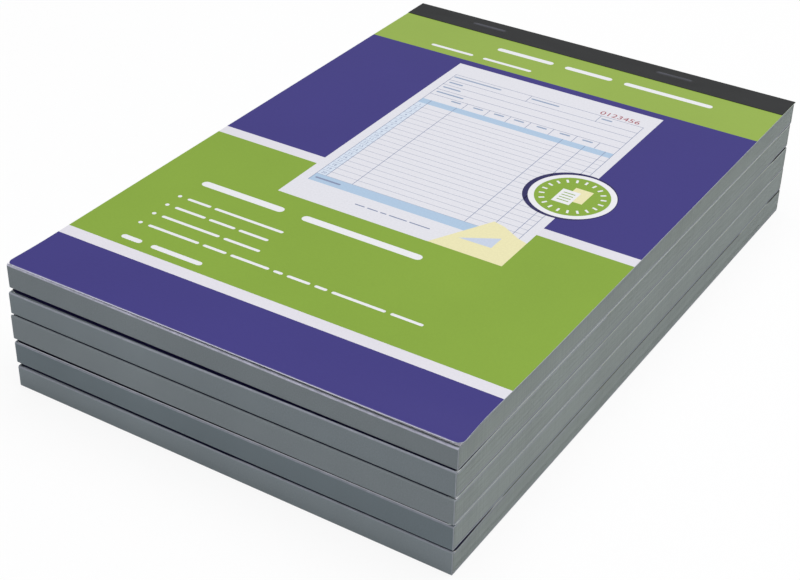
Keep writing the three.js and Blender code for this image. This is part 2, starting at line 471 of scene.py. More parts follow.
# %% [markdown]
# ## Cut page edges
# The long side of a pad shows a hundred sheet edges. They are darker than the sheets' faces, because light
# is lost between them. The guillotine leaves faint upright streaks, and no two sheets are quite the same
# shade, so each leaf, being its own closed shell, takes a random tone. A cover's long edges are cut in the
# same stroke, so they look much the same. They are lighter. The bottom book's cover edge is painted dark,
# as painted shade of the gap under the book above, except in a few stretches that keep the pale edge colour.

# %% Page edges
UNSHADED_EDGE_COLOUR = srgb(190, 198, 196)
UNSHADED_FADES_OVER = 2.0


def unshaded_share(finish, paled):
    """One inside every stretch that keeps the pale edge colour and nothing outside, with a short fade
    between.
    """
    split = finish.add("ShaderNodeSeparateXYZ")
    finish.feed(finish.place(), split.inputs["Vector"])
    share = 0.0
    for start, end in paled:
        away = finish.math("ABSOLUTE", finish.math("SUBTRACT", split.outputs["Y"], (start + end) / 2), 0)
        reach = (end - start + UNSHADED_FADES_OVER) / 2
        inside = finish.math("DIVIDE", finish.math("SUBTRACT", reach, away), UNSHADED_FADES_OVER)
        inside.node.use_clamp = True
        share = finish.math("MAXIMUM", share, inside)
    return share


def page_edge(name, colour, paled=()):
    """Cut paper. Each stretch that keeps the pale edge colour is given by its start and end, in millimetres
    from the foot.
    """
    finish = Finish(name, 0.95)
    island = finish.add("ShaderNodeNewGeometry").outputs["Random Per Island"]
    streaks = finish.noise(0.5, stretch=(1, 1, 60), detail=3.0)
    clouds = finish.noise(22.0, detail=2.0)
    tinted = finish.colour(colour, [
        finish.around_one(island, 0.10),
        finish.around_one(streaks, 0.16),
        finish.around_one(clouds, 0.08),
    ])
    if paled:
        finish.mix_in(unshaded_share(finish, paled), tinted, UNSHADED_EDGE_COLOUR)
    finish.relief(streaks, 0.02)
    finish.shader.inputs["Specular IOR Level"].default_value = 0.1
    return finish.material


white_edge = page_edge("white_edge", srgb(157, 164, 164))
canary_edge = page_edge("canary_edge", srgb(154, 162, 158))
# The bottom book's dark side colour is painted shade, for the gap under the book above; its listed stretches
# keep the pale edge colour.
cover_sides = {book.number: page_edge("cover_side", srgb(*book.side_colour), book.paled) for book in books}

# %% [markdown]
# ## Book cloth and wire
# The binding tape is paper-backed cloth: threads 0.4 mm apart under a thin charcoal coat. Two crossed waves
# make the weave. The staples are flat drawn wire, bright along its length.

# %% Cloth tape and staple wire
THREAD_PITCH = 0.4
WAVE_TURNS = 20
CREST_FULL = 0.3
WIRE_STREAKS = (400, 12000, 12000)


def woven(name, colour, crest_highlight_colour, crest_height):
    """Cloth that is rubbed and has a painted highlight where it stands more than crest_height above the
    underside of the book.
    """
    finish = Finish(name, 0.62)
    threads = []
    for direction in ("X", "Y"):
        wave = finish.add("ShaderNodeTexWave", bands_direction=direction)
        wave.inputs["Scale"].default_value = 2 * math.pi / (WAVE_TURNS * THREAD_PITCH)
        wave.inputs["Distortion"].default_value = 0.6
        wave.inputs["Detail Scale"].default_value = 2.0
        finish.feed(finish.place(), wave.inputs["Vector"])
        threads.append(wave.outputs["Fac"])
    weave = finish.math("MULTIPLY", threads[0], threads[1])
    rubs = finish.noise(5.0, stretch=(3, 1, 1), detail=5.0)
    tinted = finish.colour(colour, [
        finish.around_one(weave, 0.12),
        finish.around_one(rubs, 0.22),
    ])
    split = finish.add("ShaderNodeSeparateXYZ")
    finish.feed(finish.place(), split.inputs["Vector"])
    # Painted highlight, and rubbed cloth: the colour turns paler on the crests of the staple ridges.
    crest_highlight = finish.math("DIVIDE", finish.math("SUBTRACT", split.outputs["Z"], crest_height), CREST_FULL)
    crest_highlight.node.use_clamp = True
    finish.mix_in(finish.math("MULTIPLY", crest_highlight, rubs), tinted, crest_highlight_colour)
    finish.relief(weave, 0.03, strength=0.6)
    finish.shader.inputs["Specular IOR Level"].default_value = 0.25
    return finish.material


def drawn_wire(name, colour):
    finish = Finish(name, 0.3)
    finish.shader.inputs["Metallic"].default_value = 1.0
    coordinates = finish.add("ShaderNodeTexCoord")
    stretched = finish.add("ShaderNodeVectorMath", operation="MULTIPLY")
    stretched.inputs[1].default_value = WIRE_STREAKS
    finish.feed(coordinates.outputs["Object"], stretched.inputs[0])
    lines = finish.add("ShaderNodeTexNoise")
    lines.inputs["Scale"].default_value = 1.0
    finish.feed(stretched.outputs["Vector"], lines.inputs["Vector"])
    finish.colour(colour, [finish.around_one(lines.outputs["Fac"], 0.2)])
    finish.relief(lines.outputs["Fac"], 0.01)
    return finish.material


flat_tape = cover_top + LEAF_AIR + tape_thickness
cloth_tape = woven("cloth_tape", srgb(44, 45, 46), srgb(104, 105, 118), flat_tape + 0.03)
staple_wire = drawn_wire("staple_wire", srgb(196, 198, 204))
print("binding materials ready")

# %% [markdown]
# ## One way to make every sheet
# Cover, card, sheet and tape are all the same kind of thing: a strip of some thickness that follows a path
# and runs right across the book. So one helper makes them all. It walks along the outer face of the strip,
# as seen from the book's side, finds the other face by offsetting inwards, and joins the two at the edges.
# A shape, where one is given, moves each point from its drawn place to the place where the paper lies.
# Edges sharper than 30 degrees stay crisp, and folds are shaded smooth.

# %% Paths and strips
SHARP_ANGLE = math.radians(30)


def quarter(centre, radius, start, end, steps=5):
    """Points on a quarter circle. Angles are in quarter turns from the head direction."""
    turns = [start + (end - start) * step / steps for step in range(steps + 1)]
    return [
        (centre[0] + radius * math.cos(turn * math.pi / 2), centre[1] + radius * math.sin(turn * math.pi / 2))
        for turn in turns
    ]


def spread(start, end, step):
    """Even places from start to end, no further apart than step."""
    count = max(1, math.ceil(abs(end - start) / step))
    return [start + (end - start) * index / count for index in range(count + 1)]


def offset_path(path, thickness):
    """The path moved to its right by the thickness, with mitred corners."""
    moved = []
    for index, (y, z) in enumerate(path):
        normals = []
        for first_index in (index - 1, index):
            if 0 <= first_index < len(path) - 1:
                (y0, z0), (y1, z1) = path[first_index], path[first_index + 1]
                length = math.hypot(y1 - y0, z1 - z0)
                normals.append(((z1 - z0) / length, -(y1 - y0) / length))
        ny = sum(normal[0] for normal in normals) / len(normals)
        nz = sum(normal[1] for normal in normals) / len(normals)
        reach = thickness / (ny * ny + nz * nz)
        moved.append((y + ny * reach, z + nz * reach))
    return moved


def finish_mesh(name, shell, materials):
    """Turns a bmesh of closed shells into an object, facing outwards and sharp only at real edges."""
    bmesh.ops.recalc_face_normals(shell, faces=shell.faces)
    for face in shell.faces:
        face.smooth = True
    for edge in shell.edges:
        edge.smooth = edge.calc_face_angle(math.pi) < SHARP_ANGLE
    mesh = bpy.data.meshes.new(name)
    shell.to_mesh(mesh)
    shell.free()
    for material in materials:
        mesh.materials.append(material)
    piece = bpy.data.objects.new(name, mesh)
    bpy.context.scene.collection.objects.link(piece)
    return piece


def add_strip(shell, book, path, thickness, columns, shape=None, zone=None, kinds=(0, 1, 2)):
    """Adds one strip. kinds are the material numbers of outer face, inner face, cut ends and long sides."""
    rest_layer = shell.verts.layers.float_vector[REST_PLACE]
    inner_path = offset_path(path, thickness)

    def corner(x, y, z):
        x, y, shaped_z = shape(x, y, z) if shape else (x, y, z)
        vertex = shell.verts.new(book.place(x, y, shaped_z))
        vertex[rest_layer] = (x, y, z)
        return vertex

    outer = [[corner(x, y, z) for x in columns] for y, z in path]
    inner = [[corner(x, y, z) for x in columns] for y, z in inner_path]

    def face(corners, kind):
        shell.faces.new(corners).material_index = kind

    for row in range(len(path) - 1):
        middle = (path[row][0] + path[row + 1][0]) / 2
        outer_kind = zone(middle) if zone else kinds[0]
        for column in range(len(columns) - 1):
            face([outer[row][column], outer[row][column + 1],
                  outer[row + 1][column + 1], outer[row + 1][column]], outer_kind)
            face([inner[row][column], inner[row + 1][column],
                  inner[row + 1][column + 1], inner[row][column + 1]], kinds[1])
        for column in (0, len(columns) - 1):
            face([outer[row][column], outer[row + 1][column],
                  inner[row + 1][column], inner[row][column]], kinds[-1])
    for row in (0, len(path) - 1):
        for column in range(len(columns) - 1):
            face([outer[row][column], inner[row][column],
                  inner[row][column + 1], outer[row][column + 1]], kinds[2])


def new_shell():
    shell = bmesh.new()
    shell.verts.layers.float_vector.new(REST_PLACE)
    return shell


def strip(book, words, path, thickness, columns, materials, **details):
    shell = new_shell()
    add_strip(shell, book, path, thickness, columns, **details)
    return finish_mesh(book.name(words), shell, materials)


print(f"strips ready, creased where they turn by more than {math.degrees(SHARP_ANGLE):.0f} degrees")

# %% [markdown]
# ## The front cover
# The cover is one sheet from the foot to under the tape. Its two free corners are rounded, and its bands of
# colour are cut into the mesh, so they are exact. On the top book its right corner at the foot has curled
# up by a little over a millimetre, as card does when a pad has been handled. At the right it also reaches
# half a millimetre past the pad, and a little more at the foot. The covers of the other books lie flat.

# %% Bands of the cover, each with its lower end, measured from the head
HEADER, BLUE, WHITE, GREEN = range(len(BAND_COLOURS))
BAND_FEET = ((33.1, HEADER), (117.1, BLUE), (121.4, WHITE), (190.1, GREEN), (194.4, WHITE))
LAST_BAND = BLUE


def cover_band(y):
    from_head = book_length - y
    for foot, band in BAND_FEET:
        if from_head < foot:
            return band
    return LAST_BAND


# %% Shape of the cover
CORNER_RADIUS = 2.0
CORNER_STEPS = 6
CORNER_COLUMNS_END = 6.0
EDGE_COLUMNS = (0, 0.4, 1.0, 2.0, 3.5)
COVER_COLUMN_STEP = 8
COVER_ROW_STEP = 3
BEND_ROW_STEP = 0.5
bend_rows_start = hinge_place - 6
bend_rows = spread(bend_rows_start, hinge_place + 1, BEND_ROW_STEP)
CURL_HEIGHT = 1.3
CURL_FROM = 10.0
CURL_REACH = 24.0
OVERHANG = 0.45
OVERHANG_MORE_AT_FOOT = 0.35


def rounded_corner(x, from_foot):
    """Draws the outer columns in where the free corners are rounded."""
    if from_foot >= CORNER_RADIUS:
        return x
    drop = CORNER_RADIUS - max(from_foot, 0.0)
    drawn_in = CORNER_RADIUS - math.sqrt(CORNER_RADIUS ** 2 - drop ** 2)
    share = (CORNER_COLUMNS_END - drawn_in) / CORNER_COLUMNS_END
    if x < CORNER_COLUMNS_END:
        return drawn_in + x * share
    if x > book_width - CORNER_COLUMNS_END:
        return book_width - drawn_in - (book_width - x) * share
    return x


def stands_out(book, y):
    """How far the cover reaches past the pad at the right."""
    if book is not top_book:
        return 0.0
    return OVERHANG + OVERHANG_MORE_AT_FOOT * math.exp(-max(y, 0.0) / CURL_REACH)


def corner_curl(x, y):
    """How far the top cover has curled up, most at its right corner at the foot."""
    along = max(0.0, (x - CURL_FROM) / (book_width - CURL_FROM))
    return CURL_HEIGHT * along * math.exp(-((y / CURL_REACH) ** 2))


def cover_path(first_row):
    """Places from foot to head along the top of the cover, with a row at every band."""
    band_rows = [book_length - foot for foot, _ in BAND_FEET]
    turns = [step * math.pi / (2 * CORNER_STEPS) for step in range(CORNER_STEPS + 1)]
    corner_rows = [first_row + CORNER_RADIUS * (1 - math.cos(turn)) for turn in turns]
    flat_rows = spread(first_row + CORNER_RADIUS + 1, bend_rows_start, COVER_ROW_STEP)
    rows = set(corner_rows + band_rows + flat_rows + bend_rows + [head_end])
    return [(y, cover_top) for y in sorted(rows)]


def front_cover(book):
    columns = set(spread(CORNER_COLUMNS_END, book_width - CORNER_COLUMNS_END, COVER_COLUMN_STEP))
    for x in EDGE_COLUMNS:
        columns.update((x, book_width - x))

    def shape(x, y, z):
        x = rounded_corner(x, y - book.cover_stops_short) + stands_out(book, y) * ease(x / book_width)
        return x, y, z + (corner_curl(x, y) if book is top_book else 0.0)

    materials = band_materials(book) + [cover_cuts[book.number], cover_sides[book.number]]
    return strip(book, "cover_card", cover_path(book.cover_stops_short), cover_thickness, sorted(columns),
                 materials, shape=shape, zone=cover_band, kinds=(0, 4, 5, 6))


# %% Make the covers
covers = {}
for book in books:
    piece = front_cover(book)
    covers[book.number] = piece
    if book is top_book:
        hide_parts(book.name("front_cover"), book.name("cover_binding_strip"))
    else:
        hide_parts(book.name("front_cover"))
        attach(piece, book.body)
print("covers made:", len(covers), "points each:", len(covers[1].data.vertices))


def bend_across(piece):
    """Bakes the sheet's place into its points."""
    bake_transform(piece)


bend_across(covers[TOP_BOOK])

# %% [markdown]
# ## The grey card
# One sheet of grey board runs under the pad, turns up at the foot and turns in over it again. Board cracks
# softly where it folds, so both folds get a small radius, and the upper one may stand up in a bead. On the
# closed books this is a single strip. On the top book it is two: the lower one bends at the bottom crease,
# and the upper one at the top crease. They meet just below the top fold.

# %% Card paths
FOLD_RADIUS = 0.5
BEAD_TOP = 0.35
BEAD_END = 0.85
BEAD_ROWS = [0.6, 0.7, 0.85]
BEAD_DEPTH = 1.0
REBATE_LENGTH = 11.3
REBATE_SLOPE = 1.2
ROWS_PAST_REBATE = 4
ROWS_PAST_FOLD = 6
UNDER_ROW_STEP = 14
FLAP_ROW_STEP = 10
CARD_COLUMN_STEP = 10
STRIP_ROW_STEP = 1.0
SEAM_AIR = 0.001
card_top = canary_low.z - LEAF_AIR
SEAM_HEIGHT = card_top - 1.1


def under_path():
    """From the head, along the underside, to the bottom fold. The card rises a little onto the tape."""
    rise = tape_thickness + LEAF_AIR
    rebate = book_length - REBATE_LENGTH
    flat_rows = spread(rebate - ROWS_PAST_REBATE, FOLD_RADIUS + ROWS_PAST_FOLD, UNDER_ROW_STEP)
    return ([(head_end, rise), (rebate + REBATE_SLOPE, rise), (rebate, 0.0)]
            + [(y, 0.0) for y in flat_rows]
            + quarter((FOLD_RADIUS, FOLD_RADIUS), FOLD_RADIUS, 3, 2, steps=6))


def over_path():
    """From just below the top fold, round it, and along the flap."""
    fold = quarter((FOLD_RADIUS, card_top - FOLD_RADIUS), FOLD_RADIUS, 2, 1, steps=6)
    return fold + [(y, card_top) for y in BEAD_ROWS + spread(ROWS_PAST_FOLD, flap_length, FLAP_ROW_STEP)]


def card_shape(book):
    """Lifts the upper fold of a closed book's card into its bead."""
    def shape(x, y, z):
        on_fold = 1 - ease((y - BEAD_TOP) / (BEAD_END - BEAD_TOP)) if z > card_top - BEAD_DEPTH else 0.0
        return x, y, z + book.between(book.bead, x) * on_fold
    return shape


def card_materials(book):
    face = card_by_book[book.number]
    return [face, face, grey_card_cut]


# %% The closed books' card, in one piece
card_columns = spread(0, book_width, CARD_COLUMN_STEP)
for book in books[:-1]:
    path = under_path() + over_path()
    piece = strip(book, "wrapped_card", path, card_thickness, card_columns, card_materials(book),
                  shape=card_shape(book))
    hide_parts(book.name("wraparound_card"))
    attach(piece, book.body)

# %% The top book's card, in two pieces
strip_heights = spread(FOLD_RADIUS + STRIP_ROW_STEP, SEAM_HEIGHT, STRIP_ROW_STEP)
lower_path = under_path() + [(0.0, z) for z in strip_heights]
upper_path = [(0.0, SEAM_HEIGHT + SEAM_AIR)] + over_path()
board = card_materials(top_book)
lower_card = strip(top_book, "card_and_strip", lower_path, card_thickness, card_columns, board)
upper_card = strip(top_book, "writing_guard", upper_path, card_thickness, card_columns, board)
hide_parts(top_book.name("back_card"), top_book.name("wrap_strip"))
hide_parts(top_book.name("wrap_flap"))
for piece in (lower_card, upper_card):
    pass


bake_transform(lower_card)
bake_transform(upper_card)
print("card pieces made")

# %% [markdown]
# ## Sheets
# Ninety-eight sheets, in white and canary pairs, fill each pad under the flap. Every sheet is its own closed
# shell. The guillotine cuts them flush, but paper slips by a few hundredths of a millimetre, so each edge
# has a tiny seeded offset. Under the flap the pad is pressed down by the thickness of the card. The top
# book's sheets have closer rows near the foot, where the book settles, and print on them bends at the same
# rows.

# %% A pad of sheets
LEAVES = 98
PRESS_START = flap_length - 2
PRESS_END = flap_length + 5
PRESS_STEP = 1.4
SLIP = 0.035
LEAF_SHARE = 0.93
FIRST_SEED = 100
PAD_SET_IN = 0.05
FOOT_ROWS = [4, 8, 12, 16, 20, 25, 31, 40]
FREE_ROW = 140
block_floor = block_low.z
pressed_top = card_top - card_thickness - LEAF_AIR
free_top = card_top


def pad_top(y):
    """The top of the pad: lower under the flap, with an easy slope past its end."""
    return pressed_top + (free_top - pressed_top) * ease((y - PRESS_START) / (PRESS_END - PRESS_START))


def pad_of_sheets(book):
    slips = random.Random(FIRST_SEED + book.number)
    shell = new_shell()
    foot_rows = FOOT_ROWS if book is top_book else FOOT_ROWS[-1:]
    rows = [block_low.y] + foot_rows + spread(PRESS_START, PRESS_END, PRESS_STEP) + [FREE_ROW, head_end]
    for leaf in range(LEAVES):
        foot_slip, left_slip, right_slip = (slips.uniform(-SLIP, SLIP) for _ in range(3))
        columns = [PAD_SET_IN + left_slip, book_width / 3, book_width * 2 / 3,
                   book_width - PAD_SET_IN + right_slip]
        path = []
        for y in rows:
            step = (pad_top(y) - block_floor) / LEAVES
            top = block_floor + (leaf + LEAF_SHARE) * step
            path.append((y + (foot_slip if y == rows[0] else 0.0), top))
        step = (pressed_top - block_floor) / LEAVES
        edge = 0 if leaf % 2 else 1
        upper_face = 2 if book is top_book and leaf == LEAVES - 1 else edge
        add_strip(shell, book, path, LEAF_SHARE * step, columns, kinds=(upper_face, edge, edge))
    return finish_mesh(book.name("pad"), shell, [white_edge, canary_edge, white_paper])


for book in books:
    piece = pad_of_sheets(book)
    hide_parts(book.name("sheet_block"))
    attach(piece, book.body)
print("pads made, faces each:", len(piece.data.polygons))

# %% [markdown]
# ## The first set
# The first white sheet and its canary copy lie on top of the flap. In the top book they lie a hair askew:
# their foot is flush with the card's fold at the left and a little way in at the right. Both are perforated
# just below the tape.

# %% First white and canary sheets
SHEET_SET_BACK = 0.65
SET_BACK_OVER = 70.0
CANARY_SET_BACK = 0.3
CLOSED_SET_BACK = 0.8
SHEET_SET_IN = 0.03
SHEET_STEP = 12
leaf_foot = white_low.y
leaf_columns = spread(SHEET_SET_IN, book_width - SHEET_SET_IN, SHEET_STEP)
leaf_rows = [leaf_foot] + FOOT_ROWS
leaf_rows += spread(FOOT_ROWS[-1] + SHEET_STEP, bend_rows_start, SHEET_STEP)[:-1] + bend_rows


def first_sheet(book, words, top, paper, edge, further_back=0.0):
    path = [(y, top) for y in leaf_rows + [head_end]]

    def shape(x, y, z):
        if y == leaf_foot:
            askew = SHEET_SET_BACK * ease(x / SET_BACK_OVER)
            y += further_back + (askew if book is top_book else CLOSED_SET_BACK)
        return x, y, z

    return strip(book, words, path, sheet_thickness, leaf_columns, [paper, edge],
                 kinds=(0, 0, 0, 1), shape=shape)


for book in books:
    white = first_sheet(book, "white_copy", white_high.z, white_paper, white_edge)
    canary = first_sheet(book, "canary_copy", canary_high.z, canary_paper, canary_edge, CANARY_SET_BACK)
    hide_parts(book.name("white_sheet"))
    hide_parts(book.name("canary_sheet"))
    if book is top_book:
        bend_across(white)
        bend_across(canary)
    else:
        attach(white, book.body)
        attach(canary, book.body)
print("first sets made")

# %% [markdown]
# ## The binding tape
# The tape wraps the head like a letter C. It is cloth glued tight, so its corners are round, its edge on
# the cover isn't quite parallel to the head, and the staple crowns press up through it as two low ridges.

# %% Tape
TAPE_EDGE_LEFT = 10.4
TAPE_EDGE_RIGHT = 11.7
TAPE_SLANT_FADES_OVER = 2.0
TAPE_CORNER = 0.5
TAPE_BACK_LEG = 11.0
TAPE_ROW_STEP = 1.0
TAPE_BACK_STEP = 3
TAPE_COLUMN_STEP = 6
RIDGE_HEIGHT_TOP_BOOK = 0.3
RIDGE_HEIGHT_CLOSED = 0.1
RIDGE_HALF_WIDTH = 1.15
RIDGE_PAST_STAPLE = 0.9
RIDGE_END_LENGTH = 1.6
RIDGE_ROW_STEP = 0.23
RIDGE_COLUMN_STEP = 0.3
RIDGE_COLUMNS_OUT = 1.2
RIDGE_COLUMNS_IN = 1.0
BESIDE_RIDGE = 0.2
BEFORE_CORNER = 0.3
staple_y = (staple_low.y + staple_high.y) / 2
staple_length = staple_high.x - staple_low.x
staple_middles = []
for side in ("left", "right"):
    low, high = box_mm(f"book1_staple_{side}", first)
    staple_middles.append((low.x + high.x) / 2)


def ridge(x, y, height):
    """The tape over a staple: a long low ridge with soft ends."""
    rise = 0.0
    for middle in staple_middles:
        along = ease((staple_length / 2 + RIDGE_PAST_STAPLE - abs(x - middle)) / RIDGE_END_LENGTH)
        across = ease((RIDGE_HALF_WIDTH - abs(y - staple_y)) / RIDGE_HALF_WIDTH)
        rise = max(rise, height * along * across)
    return rise


def binding_tape(book):
    height = RIDGE_HEIGHT_TOP_BOOK if book is top_book else RIDGE_HEIGHT_CLOSED
    ridge_foot, ridge_head = staple_y - RIDGE_HALF_WIDTH, staple_y + RIDGE_HALF_WIDTH
    first_row = book_length - TAPE_EDGE_LEFT
    front = spread(first_row, ridge_foot - BESIDE_RIDGE, TAPE_ROW_STEP)
    front += spread(ridge_foot, ridge_head, RIDGE_ROW_STEP)
    front += spread(ridge_head + BESIDE_RIDGE, book_length - TAPE_CORNER - BEFORE_CORNER, TAPE_ROW_STEP)
    path = [(y, flat_tape) for y in front]
    path += quarter((book_length - TAPE_CORNER, flat_tape - TAPE_CORNER), TAPE_CORNER, 1, 0)
    path += quarter((book_length - TAPE_CORNER, TAPE_CORNER), TAPE_CORNER, 4, 3)
    back_start = book_length - TAPE_CORNER - TAPE_ROW_STEP
    path += [(y, 0.0) for y in spread(back_start, book_length - TAPE_BACK_LEG, TAPE_BACK_STEP)]
    columns = set(spread(0, book_width, TAPE_COLUMN_STEP))
    for middle in staple_middles:
        left_end, right_end = middle - staple_length / 2, middle + staple_length / 2
        columns.update(spread(left_end - RIDGE_COLUMNS_OUT, left_end + RIDGE_COLUMNS_IN, RIDGE_COLUMN_STEP))
        columns.update(spread(right_end - RIDGE_COLUMNS_IN, right_end + RIDGE_COLUMNS_OUT, RIDGE_COLUMN_STEP))
    middle_height = flat_tape / 2
    shell = new_shell()
    add_strip(shell, book, path, tape_thickness, sorted(columns), kinds=(0, 0, 0))
    rest_layer = shell.verts.layers.float_vector[REST_PLACE]
    for vertex in shell.verts:
        x, y, z = vertex[rest_layer]
        if z < middle_height:
            continue
        share = max(0.0, 1 - (y - first_row) / TAPE_SLANT_FADES_OVER)
        slant = (TAPE_EDGE_LEFT - TAPE_EDGE_RIGHT) * (x / book_width) * min(1.0, share)
        raised = ridge(x, y, height)
        on_top = ease(1 + (z - flat_tape) / TAPE_CORNER)
        vertex.co.x += stands_out(book, y) * ease(x / book_width) * on_top * MM
        vertex.co.y += slant * MM
        vertex.co.z += raised * MM
        vertex[rest_layer] = (x, y, z + raised)
    return finish_mesh(book.name("tape"), shell, [cloth_tape])


# %% Make the tapes, and finish the staples under them
for book in books:
    piece = binding_tape(book)
    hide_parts(book.name("binding_tape"))
    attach(piece, book.body)
    for side in ("left", "right"):
        staple = frame["nodes"][book.name(f"staple_{side}")]
        staple.data.materials.clear()
        staple.data.materials.append(staple_wire)
print("tapes made, staples finished")

# %% [markdown]
# ## Print
# A mark of print is a thin closed slab of ink on the sheet. Marks are placed as a printer would: x from the
# left edge and d down from the head, both in millimetres. Marks on a higher layer lie on those below.

# %% Marks of ink
INK_STEP = 0.004
INK_SUNK = 0.03
WELD_WITHIN = 1e-7


def circle(x, d, radius, points=64):
    turns = [2 * math.pi * index / points for index in range(points)]
    return [(x + radius * math.cos(turn), d + radius * math.sin(turn)) for turn in turns]


class Print:
    """Collects marks for one sheet and makes them into one piece."""

    def __init__(self, book, words, surface, head, lift=None, bends=()):
        self.book = book
        self.words = words
        self.surface = surface
        self.head = head
        self.lift = lift
        self.bends = bends
        self.scale = 1.0
        self.corner = (0.0, 0.0)
        self.inks = []
        self.shell = new_shell()

    def kind(self, ink_name):
        if ink_name not in self.inks:
            self.inks.append(ink_name)
        return self.inks.index(ink_name)

    def point(self, x, d, height):
        sheet_x = self.corner[0] + x * self.scale
        y = self.head - (self.corner[1] + d * self.scale)
        raised = height + (self.lift(sheet_x, y) if self.lift else 0.0)
        vertex = self.shell.verts.new(self.book.place(sheet_x, y, self.surface) + Vector((0, 0, raised * MM)))
        vertex[self.shell.verts.layers.float_vector[REST_PLACE]] = (sheet_x, y, self.surface)
        return vertex

    def slab(self, outline, ink_name, layer=1, hole=None):
        """A closed slab over an outline of (x, d) points. A hole is an inner outline of as many points."""
        kind = self.kind(ink_name)
        top = [self.point(x, d, layer * INK_STEP) for x, d in outline]
        under = [self.point(x, d, -INK_SUNK) for x, d in outline]
        faces = []
        count = len(outline)
        if hole is None:
            faces += [top, under]
        else:
            hole_top = [self.point(x, d, layer * INK_STEP) for x, d in hole]
            hole_under = [self.point(x, d, -INK_SUNK) for x, d in hole]
            for index in range(count):
                after = (index + 1) % count
                faces.append([top[index], top[after], hole_top[after], hole_top[index]])
                faces.append([under[index], hole_under[index], hole_under[after], under[after]])
                faces.append([hole_top[index], hole_top[after], hole_under[after], hole_under[index]])
        for index in range(count):
            after = (index + 1) % count
            faces.append([top[index], under[index], under[after], top[after]])
        for corners in faces:
            self.shell.faces.new(corners).material_index = kind

    def box(self, x0, d0, x1, d1, ink_name, layer=1):
        """A rectangle, cut wherever the sheet under it bends."""
        cuts = [d0] + [self.head - y for y in self.bends if d0 < self.head - y < d1] + [d1]
        for above, below in zip(cuts, cuts[1:]):
            self.slab([(x0, above), (x1, above), (x1, below), (x0, below)], ink_name, layer)

    def line_across(self, x0, x1, d, width, ink_name, layer=1):
        self.box(x0, d - width / 2, x1, d + width / 2, ink_name, layer)

    def line_down(self, x, d0, d1, width, ink_name, layer=1):
        self.box(x - width / 2, d0, x + width / 2, d1, ink_name, layer)

    def bar(self, x0, x1, d, height, ink_name, layer=1):
        """A bar with round ends, which stands for a word."""
        radius = min(height / 2, (x1 - x0) / 2)
        outline = []
        for centre, start in ((x1 - radius, -1), (x0 + radius, 1)):
            for step in range(7):
                angle = (start + step / 3) * math.pi / 2
                outline.append((centre + radius * math.cos(angle), d + radius * math.sin(angle)))
        self.slab(outline, ink_name, layer)

    def number(self, digits, middle, d, height, ink_name, layer=1, width=None):
        """Plain printed digits, centred on middle and standing on d, at their own width or a given one."""
        curve = bpy.data.curves.new("digits", "FONT")
        curve.body = digits
        curve.resolution_u = 3
        curve.extrude = 0.5
        curve.fill_mode = "BOTH"
        holder = bpy.data.objects.new("digits", curve)
        bpy.context.scene.collection.objects.link(holder)
        bpy.context.view_layer.update()
        mesh = bpy.data.meshes.new_from_object(holder)
        kind = self.kind(ink_name)
        low_x, high_x = (pick(v.co.x for v in mesh.vertices) for pick in (min, max))
        low_y, high_y = (pick(v.co.y for v in mesh.vertices) for pick in (min, max))
        down = height / (high_y - low_y)
        across = width / (high_x - low_x) if width else down
        made = []
        for vertex in mesh.vertices:
            x = middle + (vertex.co.x - (low_x + high_x) / 2) * across
            y = d - (vertex.co.y - low_y) * down
            made.append(self.point(x, y, layer * INK_STEP if vertex.co.z > 0 else -INK_SUNK))
        for polygon in mesh.polygons:
            self.shell.faces.new([made[index] for index in polygon.vertices]).material_index = kind
        bpy.data.objects.remove(holder)
        bpy.data.curves.remove(curve)
        bpy.data.meshes.remove(mesh)

    def finish(self, slot):
        bmesh.ops.remove_doubles(self.shell, verts=self.shell.verts, dist=WELD_WITHIN)
        materials = [INKS[name] for name in self.inks]
        piece = finish_mesh(self.book.name(self.words), self.shell, materials)
        return piece


# %% [markdown]
# ## The ruled form
# The form is the same on every sheet, and a half-size picture of it is on the cover. It has a number in
# red, four ruled rows with short labels, a row of cells, a tinted head, twenty numbered rows of five
# columns, and a tinted foot. Bars stand for words.

# %% Draw the form, in millimetres of the real sheet
FORM_LEFT = 6.3
FORM_RIGHT = 135.9
RULE_LINES = (15.8, 24.4, 31.6, 39.6, 47.5)
FIELD_TICKS = (60.6, 108.1)
CELL_TICKS = (33.5, 49.0, 63.5, 77.2, 92.6, 108.1, 123.0)
CELLS_FOOT = 55.7
TABLE_TOP = 61.6
TABLE_ROWS = 20
ROW_HEIGHT = 5.41
COLUMN_LINES = (12.6, 30.3, 102.7, 117.4, 130.6)
TABLE_FOOT = TABLE_TOP + TABLE_ROWS * ROW_HEIGHT
FORM_FOOT = TABLE_FOOT + 8.4
FORM_LABELS = ((5.9, 40.8, 19.2), (60.9, 81.2, 19.2), (108.6, 117.0, 19.2),
               (7.2, 18.1, 27.6), (7.2, 21.0, 35.2), (7.2, 27.6, 43.0))
RULE_WIDTH = 0.36
FINE_RULE_WIDTH = 0.34
LABEL_HEIGHT = 1.5
LABEL_SET_IN = 1
CELL_LABEL = (10.6, 3.6)
CELL_LABEL_DOWN = 2.4
TOTAL_LABEL = (2, 19)
TOTAL_LABEL_UP = 4.2
NOTE_BARS = ((43.5, 50), (51.5, 58.5), (60, 64), (65.5, 77), (78.5, 91.5))
NOTE_DOWN = 187.0
NOTE_HEIGHT = 0.9
ROW_DIGIT_HEIGHT = 2.2
NUMBER_MIDDLE = 118.6
NUMBER_FOOT = 14.0
NUMBER_HEIGHT = 4.6
NUMBER_WIDTH = 26.0


